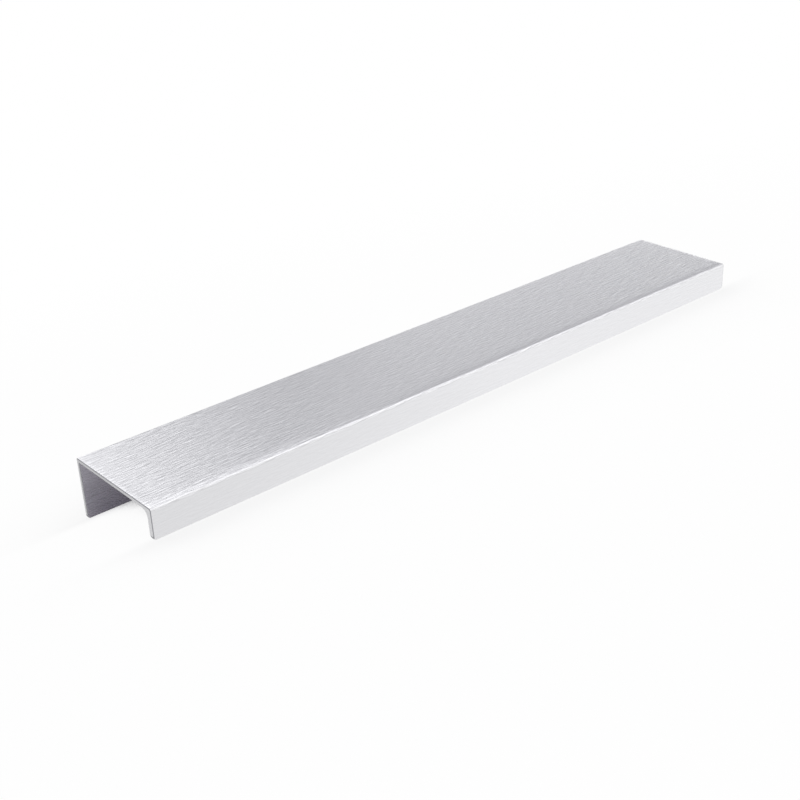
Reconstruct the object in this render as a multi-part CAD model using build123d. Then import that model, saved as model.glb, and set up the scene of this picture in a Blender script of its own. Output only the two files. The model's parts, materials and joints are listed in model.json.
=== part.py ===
from build123d import *
import os
from math import asin, atan2, degrees, hypot

# Finger pull profile: one length of extruded aluminium in the shape of an unequal channel.
# The wide plate lies on the top edge of a door or drawer front, the long back leg is screwed to
# the rear of it, and the short lip hangs down before it as the grip.
# Millimetres. The section is drawn with the plate level: X runs along the length from its middle,
# Y = 0 is the outer face of the back leg, -Y points to the lip, Z = 0 is the plate's top face.

# Overall sizes
profile_length = 250.0
plate_depth = 40.0
back_leg_height = 20.0
lip_height = 10.0

# Walls
plate_thickness = 1.2
back_leg_thickness = 1.2
lip_thickness = 2.0

# Rounds of the section
front_edge_radius = 0.8
back_edge_radius = 0.4
lip_root_radius = 2.5
leg_root_radius = 0.3
lip_tip_radius = 0.7
leg_tip_radius = 0.3

# Finish of the sawn ends
end_chamfer = 0.2
end_corner_radius = 1.0

# Countersunk screw holes in the back leg
screw_end_distance = 29.0
screw_hole_radius = 2.0
countersink_radius = 2.8
countersink_angle = 90.0

# Places that follow from the sizes. A tip's rounds are kept under half of its wall.
lip_face_y = -plate_depth
lip_inner_y = lip_face_y + lip_thickness
leg_inner_y = -back_leg_thickness
lip_tip_round = min(lip_tip_radius, 0.45 * lip_thickness)
leg_tip_round = min(leg_tip_radius, 0.45 * back_leg_thickness)
screw_x = profile_length / 2 - screw_end_distance
screw_z = -(plate_thickness + back_leg_height) / 2


def channel_section():
    """The closed outline of the extrusion, each corner with its own round."""
    corners = [
        ((0, 0), back_edge_radius),
        ((0, -back_leg_height), leg_tip_round),
        ((leg_inner_y, -back_leg_height), leg_tip_round),
        ((leg_inner_y, -plate_thickness), leg_root_radius),
        ((lip_inner_y, -plate_thickness), lip_root_radius),
        ((lip_inner_y, -lip_height), lip_tip_round),
        ((lip_face_y, -lip_height), lip_tip_round),
        ((lip_face_y, 0), front_edge_radius),
    ]
    with BuildSketch(Plane.YZ) as section:
        with BuildLine():
            Polyline(*[place for place, radius in corners], close=True)
        make_face()
        for place, radius in corners:
            fillet(section.vertices().sort_by_distance(place)[0], radius)
    return section.sketch


def sawn_bar():
    """The section run through the whole length, with both sawn ends lightly chamfered."""
    bar = extrude(channel_section(), profile_length / 2, both=True)
    for which in (0, -1):
        end_face = bar.faces().sort_by(Axis.X)[which]
        bar = chamfer(end_face.edges(), end_chamfer)
    return bar


def corner_waste(side, wall_y, wall, tip_z):
    """What is filed off one corner of a leg's tip, at the end on the given side."""
    block_x = side * (profile_length - end_corner_radius) / 2
    block = Pos(block_x, wall_y, tip_z + end_corner_radius / 2)
    block *= Box(end_corner_radius, 2 * wall, end_corner_radius)
    round_x = side * (profile_length / 2 - end_corner_radius)
    kept = Pos(round_x, wall_y, tip_z + end_corner_radius) * Rot(X=90)
    kept *= Cylinder(end_corner_radius, 2 * wall)
    return block - kept


def screw_hole(side):
    """A screw hole through the back leg, countersunk from the outer face."""
    outer_face = Plane((side * screw_x, 0, screw_z), x_dir=(1, 0, 0), z_dir=(0, 1, 0))
    return outer_face * CounterSinkHole(
        screw_hole_radius, countersink_radius, 2 * back_leg_thickness, countersink_angle
    )


def level_profile():
    """The finished profile with its plate level."""
    profile = sawn_bar()
    for side in (-1, 1):
        profile -= corner_waste(side, lip_face_y + lip_thickness / 2, lip_thickness, -lip_height)
        profile -= corner_waste(side, leg_inner_y / 2, back_leg_thickness, -back_leg_height)
        profile -= screw_hole(side)
    return profile


def resting_tilt():
    """Angle in degrees by which the plate slopes down to the lip when both tips are on the floor.

    The floor touches the inner round of the back leg's tip and the outer round of the lip's tip,
    so it is the lower common tangent of those two circles.
    """
    leg_y, leg_z = leg_inner_y + leg_tip_round, leg_tip_round - back_leg_height
    lip_y, lip_z = lip_face_y + lip_tip_round, lip_tip_round - lip_height
    run, rise = leg_y - lip_y, lip_z - leg_z
    lean = asin((lip_tip_round - leg_tip_round) / hypot(run, rise))
    return degrees(atan2(rise, run) - lean)


def at_rest(profile):
    """The profile turned until it stands on its two tips, centred over the origin."""
    profile = Rot(X=resting_tilt()) * profile
    box = profile.bounding_box()
    return Pos(-box.center().X, -box.center().Y, -box.min.Z) * profile


os.makedirs("parts", exist_ok=True)
pull_profile = at_rest(level_profile())
pull_profile.label = "pull_profile"
export_step(pull_profile, "parts/pull_profile.step")
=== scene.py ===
import json
import logging
import math
from dataclasses import dataclass, field, fields, replace
from enum import Enum
from typing import Any, Mapping, NamedTuple

import bpy
from mathutils import Matrix, Vector


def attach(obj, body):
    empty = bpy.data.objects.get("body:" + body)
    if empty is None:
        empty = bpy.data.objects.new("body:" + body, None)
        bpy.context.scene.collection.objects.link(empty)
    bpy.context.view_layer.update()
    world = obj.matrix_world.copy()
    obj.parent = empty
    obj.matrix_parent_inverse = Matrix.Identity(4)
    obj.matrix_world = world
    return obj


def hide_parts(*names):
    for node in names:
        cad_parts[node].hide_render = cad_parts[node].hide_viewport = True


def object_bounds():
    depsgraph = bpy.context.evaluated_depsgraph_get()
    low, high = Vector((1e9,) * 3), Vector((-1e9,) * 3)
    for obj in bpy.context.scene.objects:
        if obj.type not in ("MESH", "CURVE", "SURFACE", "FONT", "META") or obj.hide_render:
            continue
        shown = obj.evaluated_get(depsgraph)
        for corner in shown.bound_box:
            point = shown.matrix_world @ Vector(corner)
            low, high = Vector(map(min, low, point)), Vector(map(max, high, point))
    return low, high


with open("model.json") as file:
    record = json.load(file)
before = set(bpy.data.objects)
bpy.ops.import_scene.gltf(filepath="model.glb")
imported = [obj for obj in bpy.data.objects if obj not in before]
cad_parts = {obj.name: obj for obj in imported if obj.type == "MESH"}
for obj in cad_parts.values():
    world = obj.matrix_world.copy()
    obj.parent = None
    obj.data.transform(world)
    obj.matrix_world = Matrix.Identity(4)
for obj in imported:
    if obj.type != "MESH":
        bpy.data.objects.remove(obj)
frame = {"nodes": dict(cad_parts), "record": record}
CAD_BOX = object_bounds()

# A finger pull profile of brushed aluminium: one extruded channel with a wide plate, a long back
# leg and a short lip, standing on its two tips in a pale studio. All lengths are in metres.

LOG = logging.getLogger("finger_pull")
NODE = "pull_profile"
BODY = "root"
UV_MAP = "UVMap"
MM_PER_METRE = 1000

Socket = bpy.types.NodeSocket
Pair = tuple[float, float]
Triple = tuple[float, float, float]
Colour = Triple


def opaque(colour: Colour) -> tuple[float, float, float, float]:
    """The colour with an alpha of one, as a colour socket takes it."""
    return (*colour, 1.0)


class NodeBench:
    """Adds, feeds and joins the nodes of one tree."""

    def __init__(self, tree: bpy.types.NodeTree) -> None:
        """Starts on a tree, which is the shader or geometry tree that gets the nodes."""
        self.tree = tree

    def openings(self, kind: str, *names: str, way: str = "INPUT") -> None:
        """Gives the tree sockets of its own, of a kind named without the word NodeSocket."""
        for name in names:
            self.tree.interface.new_socket(name, in_out=way, socket_type=f"NodeSocket{kind}")

    def add(
        self, kind: str, feeds: Mapping[str | int, Any] | None = None, **settings: Any
    ) -> bpy.types.Node:
        """Adds one node.

        Args:
            kind: Blender's name for the type of node.
            feeds: What goes into its inputs, by their name or number: a socket is joined on, and
                any other value is set.
            settings: The node's own properties.

        Returns:
            The new node.
        """
        node = self.tree.nodes.new(kind)
        for name, value in settings.items():
            setattr(node, name, value)
        for name, value in (feeds or {}).items():
            self.feed(node.inputs[name], value)
        return node

    def feed(self, place: Socket, value: Any) -> None:
        """Joins or sets one input.

        Args:
            place: The input.
            value: The socket to join to it, or the value to set it to.
        """
        if isinstance(value, Socket):
            self.tree.links.new(value, place)
        else:
            place.default_value = value

    def math(self, operation: str, *values: Any, clamp: bool = False) -> Socket:
        """Works out a number from sockets or numbers by the Math node's operation."""
        feeds = dict(enumerate(values))
        return self.add("ShaderNodeMath", feeds, operation=operation, use_clamp=clamp).outputs[0]

    def minus(self, value: Any) -> Socket:
        """The value with its sign turned round."""
        return self.math("MULTIPLY", value, -1.0)

    def half(self, value: Any) -> Socket:
        """Half of the value."""
        return self.math("MULTIPLY", value, 0.5)

    def vector(self, x: Any, y: Any, z: Any) -> Socket:
        """Joins three numbers, each a socket or a value, into one vector."""
        return self.add("ShaderNodeCombineXYZ", {0: x, 1: y, 2: z}).outputs[0]

    def parts(self, vector: Socket) -> list[Socket]:
        """The X, Y and Z sockets of a vector."""
        return list(self.add("ShaderNodeSeparateXYZ", {0: vector}).outputs)

    def vector_math(self, operation: str, *values: Any) -> Socket:
        """Works out a vector from sockets or tuples by the Vector Math node's operation."""
        feeds = dict(enumerate(values))
        return self.add("ShaderNodeVectorMath", feeds, operation=operation).outputs[0]

    def scaled(self, vector: Any, amount: Any) -> Socket:
        """Multiplies a vector by a number, each a socket or a value."""
        feeds = {0: vector, "Scale": amount}
        return self.add("ShaderNodeVectorMath", feeds, operation="SCALE").outputs[0]

    def pick(self, index: Socket, choices: list[Any], data_type: str = "FLOAT") -> Socket:
        """Chooses by an index among values or sockets.

        Args:
            index: The socket that holds the index.
            choices: One value or socket for each index, from 0 up.
            data_type: The type of the choices.

        Returns:
            The chosen value's socket.
        """
        node = self.add("GeometryNodeIndexSwitch", {"Index": index}, data_type=data_type)
        while len(node.index_switch_items) < len(choices):
            node.index_switch_items.new()
        for number, choice in enumerate(choices):
            self.feed(node.inputs[number + 1], choice)
        return node.outputs[0]

    def capture(self, geometry: Socket, domain: str, **kept: tuple[str, Socket]) -> list[Socket]:
        """Keeps fields on a geometry.

        Args:
            geometry: The geometry's socket.
            domain: The domain the fields are kept on.
            kept: For each field its data type and its socket.

        Returns:
            The geometry's socket, then one socket for each kept field.
        """
        node = self.add("GeometryNodeCaptureAttribute", {0: geometry}, domain=domain)
        for number, (name, (kind, value)) in enumerate(kept.items()):
            node.capture_items.new(kind, name)
            self.feed(node.inputs[number + 1], value)
        return list(node.outputs)[: len(kept) + 1]

    def put(self, geometry: Socket, position: Socket) -> Socket:
        """Puts each point of a geometry at a position, which is a field."""
        feeds = {"Geometry": geometry, "Position": position}
        return self.add("GeometryNodeSetPosition", feeds).outputs[0]

    def string_of_points(self, count: Any) -> Socket:
        """Makes an open curve whose points are still to be put in their places.

        Args:
            count: How many points it has, as a number or a socket.

        Returns:
            The curve's socket.
        """
        line = self.add("GeometryNodeCurvePrimitiveLine").outputs[0]
        feeds = {"Curve": line, "Count": count}
        return self.add("GeometryNodeResampleCurve", feeds, mode="COUNT").outputs[0]


class Surface(Enum):
    """The finishes that one length of this profile shows, by the name of the tree's input."""

    BRUSHED = "Brushed outside"
    # The unbrushed inside, coloured darker partly as painted shade.
    MILL = "Plain inside"
    SAWN = "Sawn metal"
    # Rounds of the end edges, coloured dark: painted shade for the thin dark line along them.
    FILED = "Filed edges"


@dataclass(frozen=True)
class SectionSizes:
    """Walls and rounds of the extruded section and the finish of its ends."""

    lip_height: float = 0.010
    plate_thickness: float = 0.0012
    back_leg_thickness: float = 0.0012
    lip_thickness: float = 0.0020
    front_edge_radius: float = 0.0008
    back_edge_radius: float = 0.0004
    lip_root_radius: float = 0.0025
    leg_root_radius: float = 0.0003
    lip_tip_radius: float = 0.0007
    leg_tip_radius: float = 0.0003
    end_edge_radius: float = 0.0002
    end_corner_radius: float = 0.0010
    countersink_radius: float = 0.0028


@dataclass(frozen=True)
class Seat:
    """Where the frame holds the profile and how large it is there.

    The level frame has X along the length from its middle, Y = 0 on the back leg's outer face with
    the lip at -Y, and Z = 0 on the plate's top.
    """

    place: Matrix
    profile_length: float
    plate_depth: float
    back_leg_height: float
    screw_spacing: float
    screw_hole_radius: float
    screw_drop: float

    @classmethod
    def from_frame(cls) -> "Seat":
        """Measures the CAD solid after turning it back to level.

        Returns:
            The seat, whose place takes the level frame to the pose that the frame rests in.
        """
        mounts = {mount["name"]: mount for mount in frame["record"]["mounts"]}
        _, across, down = mounts["board_top_seat"]["axis"]
        turn = Matrix.Rotation(math.atan2(across, -down), 4, "X")
        to_level = turn.inverted()
        level = [to_level @ vertex.co for vertex in frame["nodes"][NODE].data.vertices]
        low = Vector(map(min, zip(*level)))
        high = Vector(map(max, zip(*level)))
        back_edge = Vector(((low.x + high.x) / 2, high.y, high.z))
        screws = mounts["screw_holes"]
        screw_place = to_level @ Vector(screws["pos_m"])
        return cls(
            place=turn @ Matrix.Translation(back_edge),
            profile_length=high.x - low.x,
            plate_depth=high.y - low.y,
            back_leg_height=high.z - low.z,
            screw_spacing=screws["dims"]["pcd_mm"] / MM_PER_METRE,
            screw_hole_radius=screws["dims"]["hole_r_mm"] / MM_PER_METRE,
            screw_drop=high.z - screw_place.z,
        )


class Corner(NamedTuple):
    """One corner of the section: its place, its round, and the side the round's centre lies on.

    The corners of a tip are filed at the ends of the length, and those inside are not brushed.
    """

    depth: Any
    height: Any
    radius: Socket
    centre_side: tuple[int, int]
    convex: bool = True
    tip: bool = False
    inside: bool = False


@dataclass
class PullProfile:
    """The extruded finger pull, swept by a geometry tree and seated on its place in the frame."""

    seat: Seat
    sizes: SectionSizes = field(default_factory=SectionSizes)
    round_points: int = 10
    end_steps: int = 12
    hole_sides: int = 64
    sharp_angle: float = math.radians(30)
    # Share of a face's corners that has to be inside, so that the face is.
    inside_share: float = 0.99
    # Share of the end edge's radius within which a face belongs to the flat end.
    flat_share: float = 0.01
    # How many walls deep a screw hole's cutter reaches in.
    cutter_walls: float = 2.0

    @staticmethod
    def corners(bench: NodeBench, size: Mapping[str, Socket]) -> list[Corner]:
        """The section's corners in order round its outline, from the back leg's tip.

        Args:
            bench: The bench of the tree.
            size: The tree's inputs by name.

        Returns:
            Eight corners, with depth 0 at the back and negative towards the lip, height 0 on top.
        """
        lip_face = bench.minus(size["Plate depth"])
        lip_back = bench.math("ADD", lip_face, size["Lip thickness"])
        leg_inner = bench.minus(size["Back leg thickness"])
        under = bench.minus(size["Plate thickness"])
        leg_end = bench.minus(size["Back leg height"])
        lip_end = bench.minus(size["Lip height"])
        leg_tip = size["Leg tip radius"]
        lip_tip = size["Lip tip radius"]
        return [
            Corner(0.0, leg_end, leg_tip, (-1, 1), tip=True),
            Corner(0.0, 0.0, size["Back edge radius"], (-1, -1)),
            Corner(lip_face, 0.0, size["Front edge radius"], (1, -1)),
            Corner(lip_face, lip_end, lip_tip, (1, 1), tip=True),
            Corner(lip_back, lip_end, lip_tip, (-1, 1), tip=True, inside=True),
            Corner(lip_back, under, size["Lip root radius"], (1, -1), convex=False, inside=True),
            Corner(leg_inner, under, size["Leg root radius"], (-1, -1), convex=False, inside=True),
            Corner(leg_inner, leg_end, leg_tip, (1, 1), tip=True, inside=True),
        ]

    def section(self, bench: NodeBench, size: Mapping[str, Socket]) -> dict[str, Socket]:
        """Draws the rounded outline, each of its points knowing the corner that it belongs to.

        Args:
            bench: The bench of the tree.
            size: The tree's inputs by name.

        Returns:
            The outline's curve, and the fields centre, radius, run, convex, tip and inside, by name.
        """
        corners = self.corners(bench, size)
        index = bench.add("GeometryNodeInputIndex").outputs[0]
        places = [bench.vector(corner.depth, corner.height, 0.0) for corner in corners]
        place = bench.pick(index, places, "VECTOR")
        radius = bench.pick(index, [corner.radius for corner in corners])
        sides = bench.pick(index, [(*corner.centre_side, 0) for corner in corners], "VECTOR")
        centre = bench.vector_math("ADD", place, bench.scaled(sides, radius))
        marks = {
            "convex": [1.0 if corner.convex else -1.0 for corner in corners],
            "tip": [float(corner.tip) for corner in corners],
            "inside": [float(corner.inside) for corner in corners],
        }
        kept = {name: ("FLOAT", bench.pick(index, values)) for name, values in marks.items()}
        polygon = bench.add("GeometryNodeCurvePrimitiveCircle", {"Resolution": len(corners)})
        curve, centre, radius, *marked = bench.capture(
            bench.put(polygon.outputs[0], place),
            "POINT",
            centre=("VECTOR", centre),
            radius=("FLOAT", radius),
            **kept,
        )
        rounds = {"Curve": curve, "Count": size["Points of a round"], "Radius": radius}
        rounded = bench.add("GeometryNodeFilletCurve", rounds, mode="POLY").outputs[0]
        run = bench.add("GeometryNodeSplineParameter").outputs["Length"]
        rounded, run = bench.capture(rounded, "POINT", run=("FLOAT", run))
        known = {"curve": rounded, "centre": centre, "radius": radius, "run": run}
        return {**known, **dict(zip(marks, marked))}

    @staticmethod
    def stations(bench: NodeBench, size: Mapping[str, Socket]) -> Socket:
        """Lays the line that the section is swept along, with its points close together at the ends.

        Args:
            bench: The bench of the tree.
            size: The tree's inputs by name.

        Returns:
            The line's socket: it runs up Z and is centred on the origin.
        """
        steps = size["Steps of an end"]
        last = bench.math("ADD", bench.math("MULTIPLY", steps, 2.0), 1.0)
        points = bench.string_of_points(bench.math("ADD", last, 1.0))
        index = bench.add("GeometryNodeInputIndex").outputs[0]
        step = bench.math("MINIMUM", index, bench.math("SUBTRACT", last, index))
        turn = bench.math("MULTIPLY", bench.math("DIVIDE", step, steps), math.pi / 2)
        share = bench.math("SUBTRACT", 1.0, bench.math("COSINE", turn))
        from_end = bench.math("MULTIPLY", share, size["End corner radius"])
        reach = bench.math("SUBTRACT", bench.half(size["Profile length"]), from_end)
        side = bench.math("SIGN", bench.math("SUBTRACT", index, bench.half(last)))
        return bench.put(points, bench.vector(0.0, 0.0, bench.math("MULTIPLY", side, reach)))

    @staticmethod
    def end_distance(bench: NodeBench, size: Mapping[str, Socket], along: Socket) -> Socket:
        """How far a place along the profile is from the nearer end."""
        half = bench.half(size["Profile length"])
        return bench.math("SUBTRACT", half, bench.math("ABSOLUTE", along))

    @staticmethod
    def rounding(bench: NodeBench, radius: Socket, from_end: Socket) -> Socket:
        """How far a quarter round of a radius stands back, at a distance from the end.

        Args:
            bench: The bench of the tree.
            radius: The round's radius.
            from_end: The distance from the profile's end.

        Returns:
            The radius at the end itself, falling to 0 one radius from it.
        """
        left = bench.math("MAXIMUM", bench.math("SUBTRACT", radius, from_end), 0.0)
        whole = bench.math("MULTIPLY", radius, radius)
        square = bench.math("SUBTRACT", whole, bench.math("MULTIPLY", left, left))
        root = bench.math("SQRT", bench.math("MAXIMUM", square, 0.0))
        return bench.math("SUBTRACT", radius, root)

    def bar(
        self, bench: NodeBench, size: Mapping[str, Socket], outline: Mapping[str, Socket]
    ) -> Socket:
        """Runs the section along the length, rounds the end edges and the tips' corners.

        Args:
            bench: The bench of the tree.
            size: The tree's inputs by name.
            outline: The section's curve and fields by name.

        Returns:
            The bar's mesh, turned so that its length runs along X.
        """
        line = self.stations(bench, size)
        feeds = {"Curve": line, "Profile Curve": outline["curve"], "Fill Caps": True}
        swept = bench.add("GeometryNodeCurveToMesh", feeds).outputs[0]
        position = bench.add("GeometryNodeInputPosition").outputs[0]
        depth, height, along = bench.parts(position)
        flat = bench.vector(depth, height, 0.0)
        outward = bench.vector_math("SUBTRACT", flat, outline["centre"])
        outward = bench.scaled(outward, bench.math("DIVIDE", outline["convex"], outline["radius"]))
        from_end = self.end_distance(bench, size, along)
        inset = self.rounding(bench, size["End edge radius"], from_end)
        lift = self.rounding(bench, size["End corner radius"], from_end)
        raised = bench.vector(0.0, bench.math("MULTIPLY", lift, outline["tip"]), 0.0)
        drawn_in = bench.vector_math("SUBTRACT", position, bench.scaled(outward, inset))
        depth, height, along = bench.parts(bench.vector_math("ADD", drawn_in, raised))
        return bench.put(swept, bench.vector(along, depth, height))

    def sweep(
        self, bench: NodeBench, size: Mapping[str, Socket]
    ) -> tuple[Socket, dict[Surface, Socket]]:
        """Makes the bar, maps it and tells its finishes apart.

        Args:
            bench: The bench of the tree.
            size: The tree's inputs by name.

        Returns:
            The bar's mesh, and the face masks of its inside, of its end edges' rounds, which get
            painted shade, and of its sawn ends.
        """
        outline = self.section(bench, size)
        bar = self.bar(bench, size, outline)
        along, depth, height = bench.parts(bench.add("GeometryNodeInputPosition").outputs[0])
        from_end = self.end_distance(bench, size, along)
        edge_radius = size["End edge radius"]
        flat_reach = bench.math("MULTIPLY", edge_radius, self.flat_share)
        inside = bench.math("GREATER_THAN", outline["inside"], self.inside_share)
        # Faces on the end edges' rounds, which get painted shade.
        edge = bench.math("LESS_THAN", from_end, edge_radius)
        end = bench.math("LESS_THAN", from_end, flat_reach)
        bar, inside, edge, end = bench.capture(
            bar, "FACE", inside=("FLOAT", inside), edge=("FLOAT", edge), end=("FLOAT", end)
        )
        run_map = bench.vector(along, outline["run"], 0.0)
        end_map = bench.vector(depth, height, 0.0)
        maps = {"Switch": end, "False": run_map, "True": end_map}
        mapped = bench.add("GeometryNodeSwitch", maps, input_type="VECTOR").outputs[0]
        feeds = {"Geometry": bar, "Name": UV_MAP, "Value": mapped}
        kinds = {"data_type": "FLOAT2", "domain": "CORNER"}
        bar = bench.add("GeometryNodeStoreNamedAttribute", feeds, **kinds).outputs[0]
        return bar, {Surface.MILL: inside, Surface.FILED: edge, Surface.SAWN: end}

    def screw_cutters(self, bench: NodeBench, size: Mapping[str, Socket]) -> Socket:
        """Makes the two bodies that bore and countersink the back leg from its outer face.

        Args:
            bench: The bench of the tree.
            size: The tree's inputs by name.

        Returns:
            The mesh of both bodies.
        """
        wall = size["Back leg thickness"]
        hole = size["Screw hole radius"]
        sink = size["Countersink radius"]
        flare = bench.math("SUBTRACT", sink, hole)
        beyond = bench.math("MULTIPLY", wall, -self.cutter_walls)
        places = [wall, bench.minus(flare), beyond]
        radii = [bench.math("ADD", sink, wall), hole, hole]
        index = bench.add("GeometryNodeInputIndex").outputs[0]
        points = bench.string_of_points(len(places))
        axis = bench.put(points, bench.vector(0.0, bench.pick(index, places), 0.0))
        axis, radius = bench.capture(axis, "POINT", radius=("FLOAT", bench.pick(index, radii)))
        feeds = {"Resolution": size["Sides of a hole"], "Radius": 1.0}
        circle = bench.add("GeometryNodeCurvePrimitiveCircle", feeds).outputs[0]
        feeds = {"Curve": axis, "Profile Curve": circle, "Scale": radius, "Fill Caps": True}
        body = bench.add("GeometryNodeCurveToMesh", feeds).outputs[0]
        spacing = size["Screw spacing"]
        start = bench.vector(bench.minus(bench.half(spacing)), 0.0, bench.minus(size["Screw drop"]))
        feeds = {"Count": 2, "Start Location": start, "Offset": bench.vector(spacing, 0.0, 0.0)}
        pair = bench.add("GeometryNodeMeshLine", feeds).outputs[0]
        bodies = bench.add("GeometryNodeInstanceOnPoints", {"Points": pair, "Instance": body})
        return bench.add("GeometryNodeRealizeInstances", {0: bodies.outputs[0]}).outputs[0]

    def tree(self) -> bpy.types.NodeTree:
        """Builds the geometry tree.

        Returns:
            The tree, with an input for each size, count and finish.
        """
        tree = bpy.data.node_groups.new("extruded profile", "GeometryNodeTree")
        bench = NodeBench(tree)
        bench.openings("Float", *self.lengths())
        bench.openings("Int", *self.counts())
        bench.openings("Material", *(surface.value for surface in Surface))
        bench.openings("Geometry", "Profile", way="OUTPUT")
        size = {socket.name: socket for socket in bench.add("NodeGroupInput").outputs if socket.name}
        bar, masks = self.sweep(bench, size)
        cutters = self.screw_cutters(bench, size)
        cutters, bored_wall = bench.capture(cutters, "FACE", bored=("FLOAT", 1.0))
        masks[Surface.SAWN] = bench.math("ADD", masks[Surface.SAWN], bored_wall)
        bodies = {"Mesh 1": bar, "Mesh 2": cutters}
        bored = bench.add("GeometryNodeMeshBoolean", bodies, operation="DIFFERENCE", solver="EXACT")
        feeds = {0: bored.outputs[0], "Shade Smooth": True}
        smooth = bench.add("GeometryNodeSetShadeSmooth", feeds, domain="FACE").outputs[0]
        angle = bench.add("GeometryNodeInputMeshEdgeAngle").outputs["Unsigned Angle"]
        feeds = {0: smooth, "Shade Smooth": bench.math("LESS_THAN", angle, self.sharp_angle)}
        smooth = bench.add("GeometryNodeSetShadeSmooth", feeds, domain="EDGE").outputs[0]
        realized = bench.add("GeometryNodeRealizeInstances", {0: smooth}).outputs[0]
        bench.add("NodeGroupOutput", {0: self.dressed(bench, realized, size, masks)})
        return tree

    @staticmethod
    def dressed(
        bench: NodeBench, mesh: Socket, size: Mapping[str, Socket], masks: Mapping[Surface, Socket]
    ) -> Socket:
        """Gives each face of the mesh its finish.

        Args:
            bench: The bench of the tree.
            mesh: The mesh's socket.
            size: The tree's inputs by name.
            masks: The faces of each finish but the brushed one, a later one over an earlier one.

        Returns:
            The mesh with its materials.
        """
        feeds = {0: mesh, "Material": size[Surface.BRUSHED.value]}
        mesh = bench.add("GeometryNodeSetMaterial", feeds).outputs[0]
        for surface, mask in masks.items():
            chosen = bench.math("GREATER_THAN", mask, 0.5)
            feeds = {"Geometry": mesh, "Selection": chosen, "Material": size[surface.value]}
            mesh = bench.add("GeometryNodeSetMaterial", feeds).outputs[0]
        return mesh

    def lengths(self) -> dict[str, float]:
        """Every size of the profile.

        Returns:
            The sizes of the seat and of the section, by the name of the tree's input.
        """
        sizes = {}
        for holder in (self.seat, self.sizes):
            sizes.update({one.name: getattr(holder, one.name) for one in fields(holder)})
        del sizes["place"]
        return {name.replace("_", " ").capitalize(): value for name, value in sizes.items()}

    def counts(self) -> dict[str, int]:
        """Every count of points by the name of the tree's input."""
        return {
            "Points of a round": self.round_points,
            "Steps of an end": self.end_steps,
            "Sides of a hole": self.hole_sides,
        }

    def build(self, finishes: Mapping[Surface, bpy.types.Material]) -> bpy.types.Object:
        """Runs the tree and seats its mesh in the frame.

        Args:
            finishes: The material of each surface.

        Returns:
            The profile, a plain mesh object at the origin that replaces the CAD node.
        """
        piece = bpy.data.objects.new("brushed_pull_profile", bpy.data.meshes.new("pull profile"))
        bpy.context.scene.collection.objects.link(piece)
        sweep = piece.modifiers.new("extruded profile", "NODES")
        sweep.node_group = self.tree()
        given = {**self.lengths(), **self.counts(), **{one.value: finishes[one] for one in Surface}}
        for socket in sweep.node_group.interface.items_tree:
            if socket.in_out == "INPUT":
                sweep[socket.identifier] = given[socket.name]
        weights = piece.modifiers.new("even flat faces", "WEIGHTED_NORMAL")
        weights.keep_sharp = True
        shown = piece.evaluated_get(bpy.context.evaluated_depsgraph_get())
        piece.data = bpy.data.meshes.new_from_object(shown)
        piece.modifiers.clear()
        # The tree's first slot is an empty one that no face uses.
        piece.data.materials.pop(index=0)
        piece.data.transform(self.seat.place)
        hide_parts(NODE)
        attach(piece, BODY)
        return piece


# The tone halfway between the dark lines and the light ones.
MIDDLE_TONE = 0.5
# What a normal map holds for a face's own normal.
FLAT_NORMAL = (0.5, 0.5, 1.0)
# Share of a turn that takes the wide side of the gloss from along the lines to across them.
ACROSS_LINES = 0.25


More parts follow.
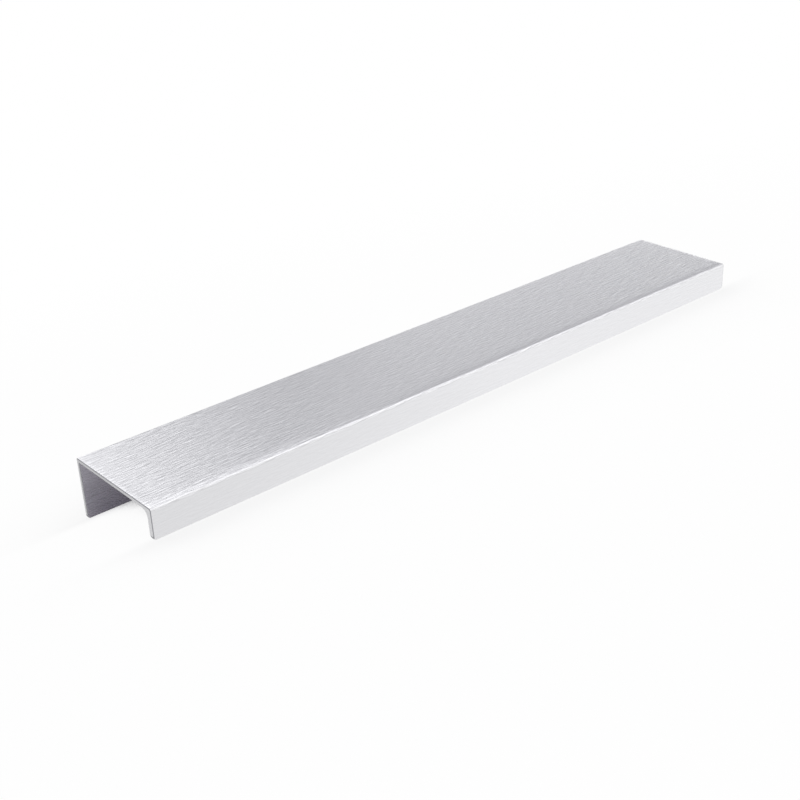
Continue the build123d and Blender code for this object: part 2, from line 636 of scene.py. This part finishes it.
@dataclass(frozen=True)
class LineEffect:
    """The shader group for fine parallel lines, as a brush, a die or a saw leaves them.

    A coarse and a fine set of lines are added up. Steps and offsets are in lines.
    """

    coarse_weight: float = 0.5
    fine_weight: float = 0.6
    fine_scale: Triple = (1.7, 2.3, 1.0)
    fine_offset: Triple = (31.0, 17.0, 5.0)
    lean_offset: Triple = (53.0, 29.0, 11.0)
    line_step: float = 0.9
    noise_detail: float = 1.0
    noise_roughness: float = 0.6

    def tree(self) -> bpy.types.NodeTree:
        """Builds the group.

        Returns:
            The group. It takes a place, the size, spread, lean and depth of the lines, and a
            shoulder that the normals lean by as well. It gives the lines' tone and the normal.
        """
        tree = bpy.data.node_groups.new("fine lines", "ShaderNodeTree")
        bench = NodeBench(tree)
        bench.openings("Vector", "Place", "Line size", "Shoulder")
        bench.openings("Float", "Spread", "Lean", "Depth")
        bench.openings("Float", "Tone", way="OUTPUT")
        bench.openings("Vector", "Normal", way="OUTPUT")
        given = bench.add("NodeGroupInput").outputs
        place = bench.vector_math("DIVIDE", given["Place"], given["Line size"])
        tone = self.swing(bench, place, given["Spread"])
        elsewhere = bench.vector_math("ADD", place, self.lean_offset)
        other = bench.math("SUBTRACT", self.swing(bench, elsewhere, given["Spread"]), MIDDLE_TONE)
        along = bench.math("MULTIPLY", other, given["Lean"])
        leaning = bench.vector_math("ADD", bench.vector(along, 0.0, 0.0), given["Shoulder"])
        packed = bench.vector_math("ADD", bench.scaled(leaning, 0.5), FLAT_NORMAL)
        feeds = {"Color": packed, "Strength": 1.0}
        normal = bench.add("ShaderNodeNormalMap", feeds, space="TANGENT", uv_map=UV_MAP).outputs[0]
        swung = bench.math("MULTIPLY", bench.math("SUBTRACT", tone, MIDDLE_TONE), given["Depth"])
        tone = bench.math("ADD", swung, MIDDLE_TONE)
        bench.add("NodeGroupOutput", {"Tone": tone, "Normal": normal})
        return tree

    def swing(self, bench: NodeBench, place: Socket, spread: Socket) -> Socket:
        """The tone of the lines at a place.

        Args:
            bench: The bench of the group.
            place: The place, in lines.
            spread: How far the tone swings.

        Returns:
            A tone between 0 and 1 that swings about the middle one.
        """
        finer = bench.vector_math("MULTIPLY", place, self.fine_scale)
        finer = bench.vector_math("ADD", finer, self.fine_offset)
        coarse = bench.math("MULTIPLY", self.hairlines(bench, place), self.coarse_weight)
        fine = bench.math("MULTIPLY", self.hairlines(bench, finer), self.fine_weight)
        both = bench.math("ADD", coarse, fine)
        return bench.math("ADD", bench.math("MULTIPLY", both, spread), MIDDLE_TONE, clamp=True)

    def hairlines(self, bench: NodeBench, place: Socket) -> Socket:
        """The step of a noise from one line to the next, so that no broad patches are left.

        Args:
            bench: The bench of the group.
            place: The place, in lines.

        Returns:
            The step's socket, a number about 0.
        """
        beside = bench.vector_math("ADD", place, (0.0, self.line_step, 0.0))
        feeds = {"Scale": 1.0, "Detail": self.noise_detail, "Roughness": self.noise_roughness}
        here = bench.add("ShaderNodeTexNoise", {"Vector": place, **feeds}).outputs["Fac"]
        there = bench.add("ShaderNodeTexNoise", {"Vector": beside, **feeds}).outputs["Fac"]
        return bench.math("SUBTRACT", here, there)


@dataclass(frozen=True)
class ShoulderEffect:
    """The shader group for faces that fall off a little towards the plate's ends and front edge."""

    seat: Seat
    # How far under the plate's top its sides start.
    side_start: float = 0.0009

    def tree(self) -> bpy.types.NodeTree:
        """Builds the group.

        Returns:
            The group. It takes a place in the level frame, a reach and a fall for the ends and
            the front, and how deep lines go on the sides. It gives the lean of the normal and
            the depth of the lines, which is 1 on the plate's top.
        """
        tree = bpy.data.node_groups.new("soft shoulders", "ShaderNodeTree")
        bench = NodeBench(tree)
        bench.openings("Vector", "Place")
        bench.openings("Float", "End reach", "End fall", "Front reach", "Front fall", "Side depth")
        bench.openings("Vector", "Lean", way="OUTPUT")
        bench.openings("Float", "Depth", way="OUTPUT")
        given = bench.add("NodeGroupInput").outputs
        along, across, height = bench.parts(given["Place"])
        half_length = self.seat.profile_length / 2
        from_end = bench.math("SUBTRACT", half_length, bench.math("ABSOLUTE", along))
        from_front = bench.math("ADD", across, self.seat.plate_depth)
        end = self.fall(bench, from_end, given["End reach"], given["End fall"])
        front = self.fall(bench, from_front, given["Front reach"], given["Front fall"])
        on_top = bench.math("GREATER_THAN", height, -self.side_start)
        outward = bench.math("MULTIPLY", bench.math("SIGN", along), end)
        lean = bench.vector(outward, bench.math("MULTIPLY", front, on_top), 0.0)
        line_depth = bench.math("MAXIMUM", on_top, given["Side depth"])
        bench.add("NodeGroupOutput", {"Lean": lean, "Depth": line_depth})
        return tree

    @staticmethod
    def fall(bench: NodeBench, distance: Socket, reach: Socket, amount: Socket) -> Socket:
        """A lean that grows towards an edge from a reach away, as a round does."""
        share = bench.math("SUBTRACT", 1.0, bench.math("DIVIDE", distance, reach), clamp=True)
        return bench.math("MULTIPLY", bench.math("MULTIPLY", share, share), amount)


@dataclass(frozen=True)
class MetalFinish:
    """One finish of the bare aluminium: its colour, its gloss and the lines worked into it.

    The roughness is that of the dark lines and of the light ones. A shoulder is how far from the
    edge the normals start to lean, and how much they lean at the edge.
    """

    name: str
    light: Colour
    dark: Colour
    roughness: Pair
    line_size: Triple
    spread: float = 2.0
    relief: float = 0.000004
    lean: float = 0.0
    anisotropy: float = 0.0
    end_shoulder: Pair = (0.001, 0.0)
    front_shoulder: Pair = (0.001, 0.0)
    side_depth: float = 1.0

    def material(
        self, seat: Seat, lines: bpy.types.NodeTree, shoulders: bpy.types.NodeTree
    ) -> bpy.types.Material:
        """Makes the finish's material.

        Args:
            seat: The profile's seat, for the place of a point in the level frame.
            lines: The group of fine lines.
            shoulders: The group of soft shoulders.

        Returns:
            The material.
        """
        made = bpy.data.materials.new(self.name)
        made.use_nodes = True
        made.node_tree.nodes.clear()
        bench = NodeBench(made.node_tree)
        shoulder = bench.add(
            "ShaderNodeGroup",
            {
                "Place": self.level_place(bench, seat),
                "End reach": self.end_shoulder[0],
                "End fall": self.end_shoulder[1],
                "Front reach": self.front_shoulder[0],
                "Front fall": self.front_shoulder[1],
                "Side depth": self.side_depth,
            },
            node_tree=shoulders,
        )
        worked = bench.add(
            "ShaderNodeGroup",
            {
                "Place": bench.add("ShaderNodeUVMap", uv_map=UV_MAP).outputs[0],
                "Line size": self.line_size,
                "Spread": self.spread,
                "Lean": self.lean,
                "Shoulder": shoulder.outputs["Lean"],
                "Depth": shoulder.outputs["Depth"],
            },
            node_tree=lines,
        )
        tone = worked.outputs["Tone"]
        feeds = {"Factor": tone, 6: opaque(self.dark), 7: opaque(self.light)}
        colour = bench.add("ShaderNodeMix", feeds, data_type="RGBA")
        of_dark, of_light = self.roughness
        rough = bench.add("ShaderNodeMapRange", {"Value": tone, "To Min": of_dark, "To Max": of_light})
        feeds = {"Height": tone, "Distance": self.relief, "Normal": worked.outputs["Normal"]}
        bump = bench.add("ShaderNodeBump", {**feeds, "Strength": 1.0})
        tangent = bench.add("ShaderNodeTangent", direction_type="UV_MAP", uv_map=UV_MAP)
        shader = bench.add(
            "ShaderNodeBsdfPrincipled",
            {
                "Base Color": colour.outputs[2],
                "Metallic": 1.0,
                "Roughness": rough.outputs[0],
                "Anisotropic": self.anisotropy,
                "Anisotropic Rotation": ACROSS_LINES,
                "Normal": bump.outputs[0],
                "Tangent": tangent.outputs[0],
            },
        )
        bench.add("ShaderNodeOutputMaterial", {"Surface": shader.outputs[0]})
        return made

    @staticmethod
    def level_place(bench: NodeBench, seat: Seat) -> Socket:
        """Turns and centres Object coordinates into the level frame.

        Args:
            bench: The bench of the material.
            seat: The profile's seat.

        Returns:
            The level frame's place of the shaded point.
        """
        back = seat.place.inverted()
        place = bench.add("ShaderNodeTexCoord").outputs["Object"]
        feeds = {"Vector": place, "Location": back.to_translation(), "Rotation": back.to_euler()}
        return bench.add("ShaderNodeMapping", feeds).outputs[0]


SAWN_METAL = MetalFinish(
    name="sawn aluminium",
    light=(0.90, 0.90, 0.91),
    dark=(0.74, 0.74, 0.76),
    roughness=(0.5, 0.38),
    line_size=(0.0003, 0.0006, 0.004),
)
FINISHES = {
    Surface.BRUSHED: MetalFinish(
        name="brushed aluminium",
        light=(0.965, 0.965, 0.985),
        dark=(0.762, 0.762, 0.780),
        roughness=(0.295, 0.275),
        line_size=(0.0055, 0.00052, 1.0),
        spread=7.0,
        relief=0.0000025,
        lean=0.12,
        anisotropy=0.8,
        end_shoulder=(0.002, 0.06),
        front_shoulder=(0.0050, 0.22),
        side_depth=0.2,
    ),
    # The unbrushed inside: its colour is darker and bluer than the outside's, partly for its plainer
    # finish and partly as painted shade for the dark channel.
    Surface.MILL: MetalFinish(
        name="plain extruded aluminium",
        light=(0.80, 0.775, 0.84),
        dark=(0.66, 0.635, 0.70),
        roughness=(0.30, 0.24),
        line_size=(0.05, 0.0005, 0.0005),
    ),
    Surface.SAWN: SAWN_METAL,
    # A darker copy of the sawn metal: painted shade for the thin dark line along the end edges.
    Surface.FILED: replace(
        SAWN_METAL, name="filed aluminium", light=(0.42, 0.42, 0.44), dark=(0.34, 0.34, 0.36)
    ),
}


@dataclass(frozen=True)
class Softbox:
    """A soft area lamp that hangs in the level frame and leans with the profile."""

    name: str
    centre: Triple
    size: Pair
    radiance: float
    facing: Triple | None = None
    spin: float = 0.0

    def hang(self, seat: Seat) -> bpy.types.Object:
        """Makes the lamp.

        Args:
            seat: The profile's seat.

        Returns:
            The lamp's object. Where no facing is given, it faces the profile's middle.
        """
        lamp = bpy.data.lights.new(self.name, "AREA")
        lamp.shape = "RECTANGLE"
        lamp.size, lamp.size_y = self.size
        lamp.energy = self.radiance * math.pi * self.size[0] * self.size[1]
        back = -Vector(self.facing) if self.facing else Vector(self.centre)
        turn = back.to_track_quat("Z", "Y").to_matrix().to_4x4()
        spin = Matrix.Rotation(math.radians(self.spin), 4, "Z")
        made = bpy.data.objects.new(self.name, lamp)
        made.matrix_world = seat.place @ Matrix.Translation(self.centre) @ turn @ spin
        bpy.context.scene.collection.objects.link(made)
        return made


@dataclass(frozen=True)
class Studio:
    """A round pale floor that curves up into a low backdrop, a plain grey room and its lamps."""

    floor_radius: float = 5.0
    cove_radius: float = 1.2
    backdrop_height: float = 2.2
    rings: int = 12
    segments: int = 96
    floor_colour: Colour = (0.9, 0.9, 0.9)
    room_colour: Colour = (0.475, 0.475, 0.492)
    # Glow of the paper near the profile and far from it, and where it changes over.
    near_glow: float = 0.97
    far_glow: float = 1.0
    glow_reach: Pair = (0.15, 0.6)
    # How open the floor is where the camera sees none and where it sees all of its glow, and
    # from how far away something still covers it.
    hidden_from_camera: Pair = (0.0, 0.15)
    hidden_reach: float = 0.05
    cover_samples: int = 8
    # The soft shadow past the feet: the openness it spans, how dark it is, and how far inside
    # the footprint it sets in.
    shadow_edge: Pair = (0.84, 0.96)
    shadow_depth: float = 0.17
    shadow_soft: float = 0.006
    # Painted shade in the metal's reflections: the floor as the metal mirrors it is dimmer to the
    # left, and dimmer behind the profile.
    left_reach: Pair = (-0.15, 0.03)
    left_dim: float = 0.85
    rear_reach: Pair = (0.02, 0.5)
    rear_dim: float = 0.78
    # The strip along the footprint's front that the leaning lip overhangs, and which it mirrors.
    lip_overhang: float = 0.0035
    # Painted light for the metal on the floor under the profile: how far in from each open end it
    # reaches, and how bright it is.
    opening_reach: float = 0.05
    opening_glow: float = 0.58
    lamps: tuple[Softbox, ...] = (
        Softbox("top softbox", (0.70, -1.20, 1.20), (2.4, 2.7), 0.60, facing=(0.0, 0.0, -1.0)),
        Softbox("rear left softbox", (0.06, 0.86, 0.94), (0.9, 1.2), 0.88, spin=38.0),
        Softbox("rear panel", (1.90, 1.30, 0.30), (2.0, 0.40), 1.0, facing=(0.0, -1.0, -0.2)),
        Softbox("low rear left", (-0.09, 1.25, 0.62), (1.0, 0.90), 0.22, spin=40.0),
    )

    def profile(self) -> list[Pair]:
        """Draws the outline that the floor and the backdrop are turned from.

        Returns:
            Its points from the floor's rim up, as radius and height.
        """
        outline = []
        for ring in range(self.rings + 1):
            angle = math.pi / 2 * ring / self.rings
            reach = self.floor_radius + self.cove_radius * math.sin(angle)
            outline.append((reach, self.cove_radius * (1 - math.cos(angle))))
        outline.append((self.floor_radius + self.cove_radius, self.backdrop_height))
        return outline

    def floor(self) -> bpy.types.Object:
        """Turns the outline round the origin.

        Returns:
            The staged floor and backdrop as one object.
        """
        outline = self.profile()
        verts = [(0.0, 0.0, 0.0)]
        for reach, height in outline:
            for segment in range(self.segments):
                angle = 2 * math.pi * segment / self.segments
                verts.append((reach * math.cos(angle), reach * math.sin(angle), height))
        faces = []
        for segment in range(self.segments):
            after = (segment + 1) % self.segments
            faces.append((0, 1 + segment, 1 + after))
            for ring in range(len(outline) - 1):
                low = 1 + ring * self.segments
                high = low + self.segments
                faces.append((low + segment, high + segment, high + after, low + after))
        mesh = bpy.data.meshes.new("studio floor")
        mesh.from_pydata(verts, [], faces)
        mesh.shade_smooth()
        mesh.materials.append(self.floor_material())
        made = bpy.data.objects.new("studio_floor", mesh)
        bpy.context.scene.collection.objects.link(made)
        return made

    def floor_material(self) -> bpy.types.Material:
        """Pale paper that the camera and the metal see as nearly white.

        Returns:
            The material. Its glow goes out for the camera where the profile covers the floor
            closely. For the metal it goes out under the profile but for a painted light near the
            open ends, and it is dimmer to the left and behind as painted shade.
        """
        made = bpy.data.materials.new("pale paper")
        made.use_nodes = True
        made.node_tree.nodes.clear()
        bench = NodeBench(made.node_tree)
        place = bench.add("ShaderNodeTexCoord").outputs["Object"]
        path = bench.add("ShaderNodeLightPath").outputs
        mirrored = bench.math("MAXIMUM", path["Is Glossy Ray"], path["Is Transmission Ray"])
        to_camera = bench.math("MULTIPLY", path["Is Camera Ray"], self.seen_by_camera(bench, place))
        to_metal = bench.math("MULTIPLY", mirrored, self.seen_by_metal(bench, place))
        reach = bench.add("ShaderNodeVectorMath", {0: place}, operation="LENGTH").outputs["Value"]
        glow = self.between(bench, reach, self.glow_reach, (self.near_glow, self.far_glow))
        glow = bench.math("MULTIPLY", glow, bench.math("ADD", to_camera, to_metal))
        dimmed = bench.math("MULTIPLY", mirrored, self.mirrored_strength(bench, place))
        strength = bench.math("ADD", path["Is Camera Ray"], dimmed)
        paper = bench.add("ShaderNodeBsdfDiffuse", {"Color": opaque(self.floor_colour)})
        feeds = {"Color": opaque((1.0, 1.0, 1.0)), "Strength": strength}
        light = bench.add("ShaderNodeEmission", feeds)
        feeds = {0: glow, 1: paper.outputs[0], 2: light.outputs[0]}
        mixed = bench.add("ShaderNodeMixShader", feeds)
        bench.add("ShaderNodeOutputMaterial", {"Surface": mixed.outputs[0]})
        return made

    def seen_by_camera(self, bench: NodeBench, place: Socket) -> Socket:
        """How much of the floor's glow the camera sees.

        Args:
            bench: The bench of the floor's material.
            place: The place on the floor.

        Returns:
            A share that is 0 on floor that the profile covers closely, and a little under 1 in
            the soft shadow before and behind its feet.
        """
        feeds = {"Distance": self.hidden_reach}
        node = bench.add("ShaderNodeAmbientOcclusion", feeds, samples=self.cover_samples)
        openness = node.outputs["AO"]
        half_depth = CAD_BOX[1][1]
        from_middle = bench.math("ABSOLUTE", bench.parts(place)[1])
        past_foot = self.between(bench, from_middle, (half_depth - self.shadow_soft, half_depth))
        shadow = self.between(bench, openness, self.shadow_edge, (self.shadow_depth, 0.0))
        lit = bench.math("SUBTRACT", 1.0, bench.math("MULTIPLY", shadow, past_foot))
        return bench.math("MULTIPLY", self.between(bench, openness, self.hidden_from_camera), lit)

    def seen_by_metal(self, bench: NodeBench, place: Socket) -> Socket:
        """How much of the floor's glow the metal mirrors.

        Args:
            bench: The bench of the floor's material.
            place: The place on the floor.

        Returns:
            A share that is 1 around the profile and low under it, where a painted light falls
            off from the open ends inwards and from the lip to the back leg.
        """
        along, depth, _ = bench.parts(place)
        aside = bench.math("ABSOLUTE", along)
        half_length, half_depth, _ = CAD_BOX[1]
        end = self.between(bench, aside, (half_length - self.opening_reach, half_length))
        front = self.between(bench, depth, (half_depth, -half_depth))
        # Painted light: near the open ends and towards the lip, the floor under the profile glows for
        # the metal.
        under = bench.math("MULTIPLY", bench.math("MULTIPLY", end, front), self.opening_glow)
        beside = bench.math("GREATER_THAN", aside, half_length)
        before = bench.math("LESS_THAN", depth, self.lip_overhang - half_depth)
        behind = bench.math("GREATER_THAN", depth, half_depth)
        clear = bench.math("MAXIMUM", beside, bench.math("MAXIMUM", before, behind))
        return bench.math("MAXIMUM", clear, under)

    def mirrored_strength(self, bench: NodeBench, place: Socket) -> Socket:
        """How bright the floor's glow is where the metal mirrors it.

        Args:
            bench: The bench of the floor's material.
            place: The place on the floor.

        Returns:
            A strength that is lower on the left, and behind the profile lowest close to it: painted
            shade in the metal's reflections.
        """
        along, depth, _ = bench.parts(place)
        # Painted shade: the mirrored floor is dimmed to the left and behind the profile.
        left = self.between(bench, along, self.left_reach, (self.left_dim, 1.0))
        rear = self.between(bench, depth, self.rear_reach, (self.rear_dim, 1.0))
        behind = bench.math("GREATER_THAN", depth, CAD_BOX[1][1])
        rear = bench.math("MAXIMUM", rear, bench.math("SUBTRACT", 1.0, behind))
        return bench.math("MULTIPLY", left, rear)

    @staticmethod
    def between(bench: NodeBench, value: Socket, limits: Pair, results: Pair = (0.0, 1.0)) -> Socket:
        """Maps a value smoothly from two limits to two results.

        Args:
            bench: The bench of the floor's material.
            value: The value to map.
            limits: The values between which the result changes.
            results: The results at those values and past them.

        Returns:
            The result's socket.
        """
        names = ("From Min", "From Max", "To Min", "To Max")
        feeds = {"Value": value, **dict(zip(names, (*limits, *results)))}
        return bench.add("ShaderNodeMapRange", feeds, interpolation_type="SMOOTHSTEP").outputs[0]

    def room(self) -> None:
        """Gives the world its plain grey."""
        world = bpy.data.worlds.new("grey room")
        world.use_nodes = True
        world.node_tree.nodes["Background"].inputs["Color"].default_value = opaque(self.room_colour)
        bpy.context.scene.world = world

    def build(self, seat: Seat) -> bpy.types.Object:
        """Makes the floor, the room and the lamps.

        Args:
            seat: The profile's seat, which the lamps hang round.

        Returns:
            The floor's object.
        """
        floor = self.floor()
        self.room()
        for lamp in self.lamps:
            lamp.hang(seat)
        bpy.context.scene.view_settings.view_transform = "Standard"
        return floor


@dataclass(frozen=True)
class PhotoCamera:
    """The photograph's view of the profile, in the level frame, so it leans with the profile."""

    aim: Triple = (-0.0153, -0.0148, -0.0156)
    bearing: float = 40.04
    elevation: float = 26.60
    roll: float = -2.49
    distance: float = 0.4381
    focal_length: float = 59.32
    sensor_width: float = 36.0
    nearest: float = 0.01

    def build(self, seat: Seat) -> bpy.types.Object:
        """Makes the camera and gives it to the scene.

        Args:
            seat: The profile's seat.

        Returns:
            The camera's object.
        """
        lens = bpy.data.cameras.new("photo camera")
        lens.lens = self.focal_length
        lens.sensor_width = self.sensor_width
        lens.clip_start = self.nearest
        aimed = seat.place @ Matrix.Translation(self.aim)
        heading = Matrix.Rotation(-math.radians(self.bearing), 4, "Z")
        tipped = Matrix.Rotation(math.radians(90 - self.elevation), 4, "X")
        rolled = Matrix.Rotation(math.radians(self.roll), 4, "Z")
        back = Matrix.Translation((0, 0, self.distance))
        made = bpy.data.objects.new("photo_camera", lens)
        made.matrix_world = aimed @ heading @ tipped @ rolled @ back
        bpy.context.scene.collection.objects.link(made)
        bpy.context.scene.camera = made
        return made


def main() -> None:
    """Builds the profile, its finishes and the studio, and reports each piece."""
    logging.basicConfig(level=logging.INFO, format="%(name)s: %(message)s")
    seat = Seat.from_frame()
    lines = LineEffect().tree()
    shoulders = ShoulderEffect(seat).tree()
    finishes = {one: FINISHES[one].material(seat, lines, shoulders) for one in Surface}
    piece = PullProfile(seat).build(finishes)
    LOG.info("%s: %d faces", piece.name, len(piece.data.polygons))
    floor = Studio().build(seat)
    LOG.info("%s: %d faces", floor.name, len(floor.data.polygons))
    camera = PhotoCamera().build(seat)
    LOG.info("%s at %s", camera.name, [round(value, 4) for value in camera.matrix_world.translation])


if __name__ == "__main__":
    main()
